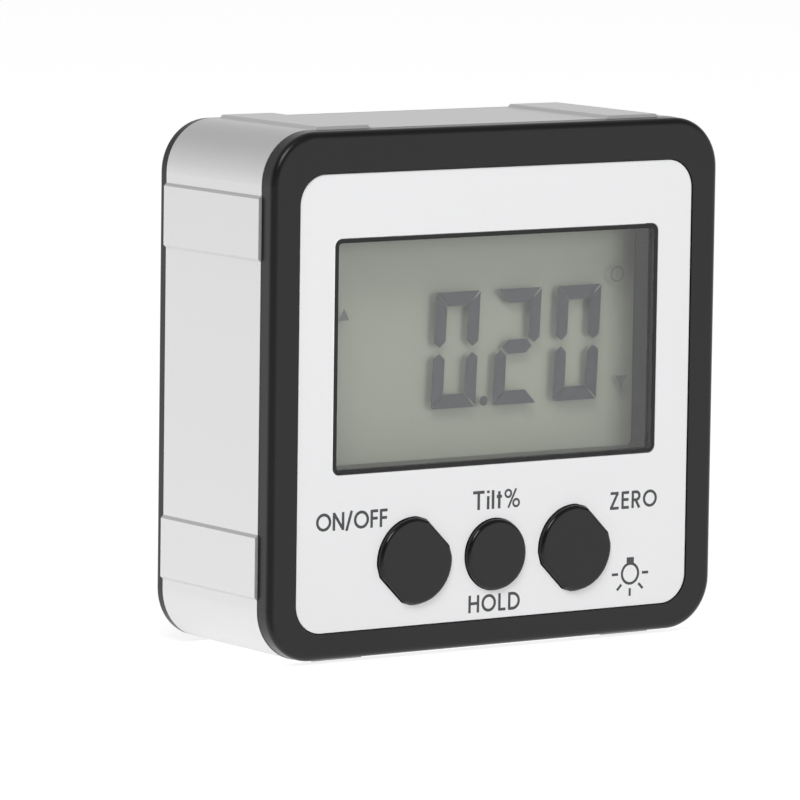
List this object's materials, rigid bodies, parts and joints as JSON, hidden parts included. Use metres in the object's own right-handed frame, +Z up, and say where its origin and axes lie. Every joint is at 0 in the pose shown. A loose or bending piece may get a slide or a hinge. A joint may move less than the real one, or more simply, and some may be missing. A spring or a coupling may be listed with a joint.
{
  "type": "digital angle gauge",
  "caption": "Box-shaped digital angle gauge with a railed aluminium frame, a black bezel, a white label, a display, push keys and a sliding battery door.",
  "frame": {"origin": "on the base plane, under the middle of the case's width and depth", "axes": "+X to the right as seen from the front, +Y to the rear, +Z up; the front faces -Y"},
  "size_m": [0.056, 0.0215, 0.054],
  "materials": {
    "aluminium_frame": "satin, extruded and bead blasted",
    "black_moulding": "fine moulded grain",
    "black_keys": "smooth satin",
    "white_label": "satin printed film",
    "clear_window": "clear gloss",
    "display_glass": "clear gloss",
    "display_film": "satin",
    "light_guide": "gloss",
    "lamp": "gloss",
    "white_holder": "satin",
    "black_rubber": "matte",
    "contact_rubber": "matte",
    "circuit_board": "satin solder mask",
    "black_chip": "matte",
    "brown_chip": "matte",
    "switch_plunger": "satin",
    "steel": "zinc plated",
    "nickel": "nickel plated",
    "cell_sleeve": "printed sleeve, satin"
  },
  "bodies": {
    "case": {"case_frame": "aluminium_frame", "front_bezel": "black_moulding", "front_label": "white_label", "display_window": "clear_window", "front_seal": "black_rubber", "rear_seal": "black_rubber", "rear_cover": "black_moulding", "front_screws": "steel", "rear_screws": "steel", "base_magnets": "nickel", "left_switch": "black_chip", "middle_switch": "black_chip", "right_switch": "black_chip", "lcd_glass": "display_glass", "lcd_reflector": "display_film", "light_guide": "light_guide", "backlight_lamps": "lamp", "lcd_holder": "white_holder", "contact_strip": "contact_rubber", "circuit_board": "circuit_board", "board_screws": "steel", "main_chip": "black_chip", "tilt_sensor": "black_chip", "clock_crystal": "steel", "chip_resistors": "black_chip", "chip_capacitors": "brown_chip", "upper_cell": "cell_sleeve", "lower_cell": "cell_sleeve", "bridge_contact": "nickel", "positive_contact": "nickel", "negative_contact": "nickel", "cell_springs": "nickel"},
    "left_key": {"left_key": "black_keys", "left_plunger": "switch_plunger"},
    "middle_key": {"middle_key": "black_keys", "middle_plunger": "switch_plunger"},
    "right_key": {"right_key": "black_keys", "right_plunger": "switch_plunger"},
    "battery_door": {"battery_door": "black_moulding"}
  },
  "joints": [
    {"name": "left_key_press", "type": "slide", "parent": "case", "child": "left_key", "axis": [0, 1, 0], "range_m": [0, 0.0004], "stiffness_N_per_m": 3000},
    {"name": "middle_key_press", "type": "slide", "parent": "case", "child": "middle_key", "axis": [0, 1, 0], "range_m": [0, 0.0004], "stiffness_N_per_m": 3000},
    {"name": "right_key_press", "type": "slide", "parent": "case", "child": "right_key", "axis": [0, 1, 0], "range_m": [0, 0.0004], "stiffness_N_per_m": 3000},
    {"name": "battery_door_slide", "type": "slide", "parent": "case", "child": "battery_door", "axis": [1, 0, 0], "range_m": [0, 0.052]}
  ]
}
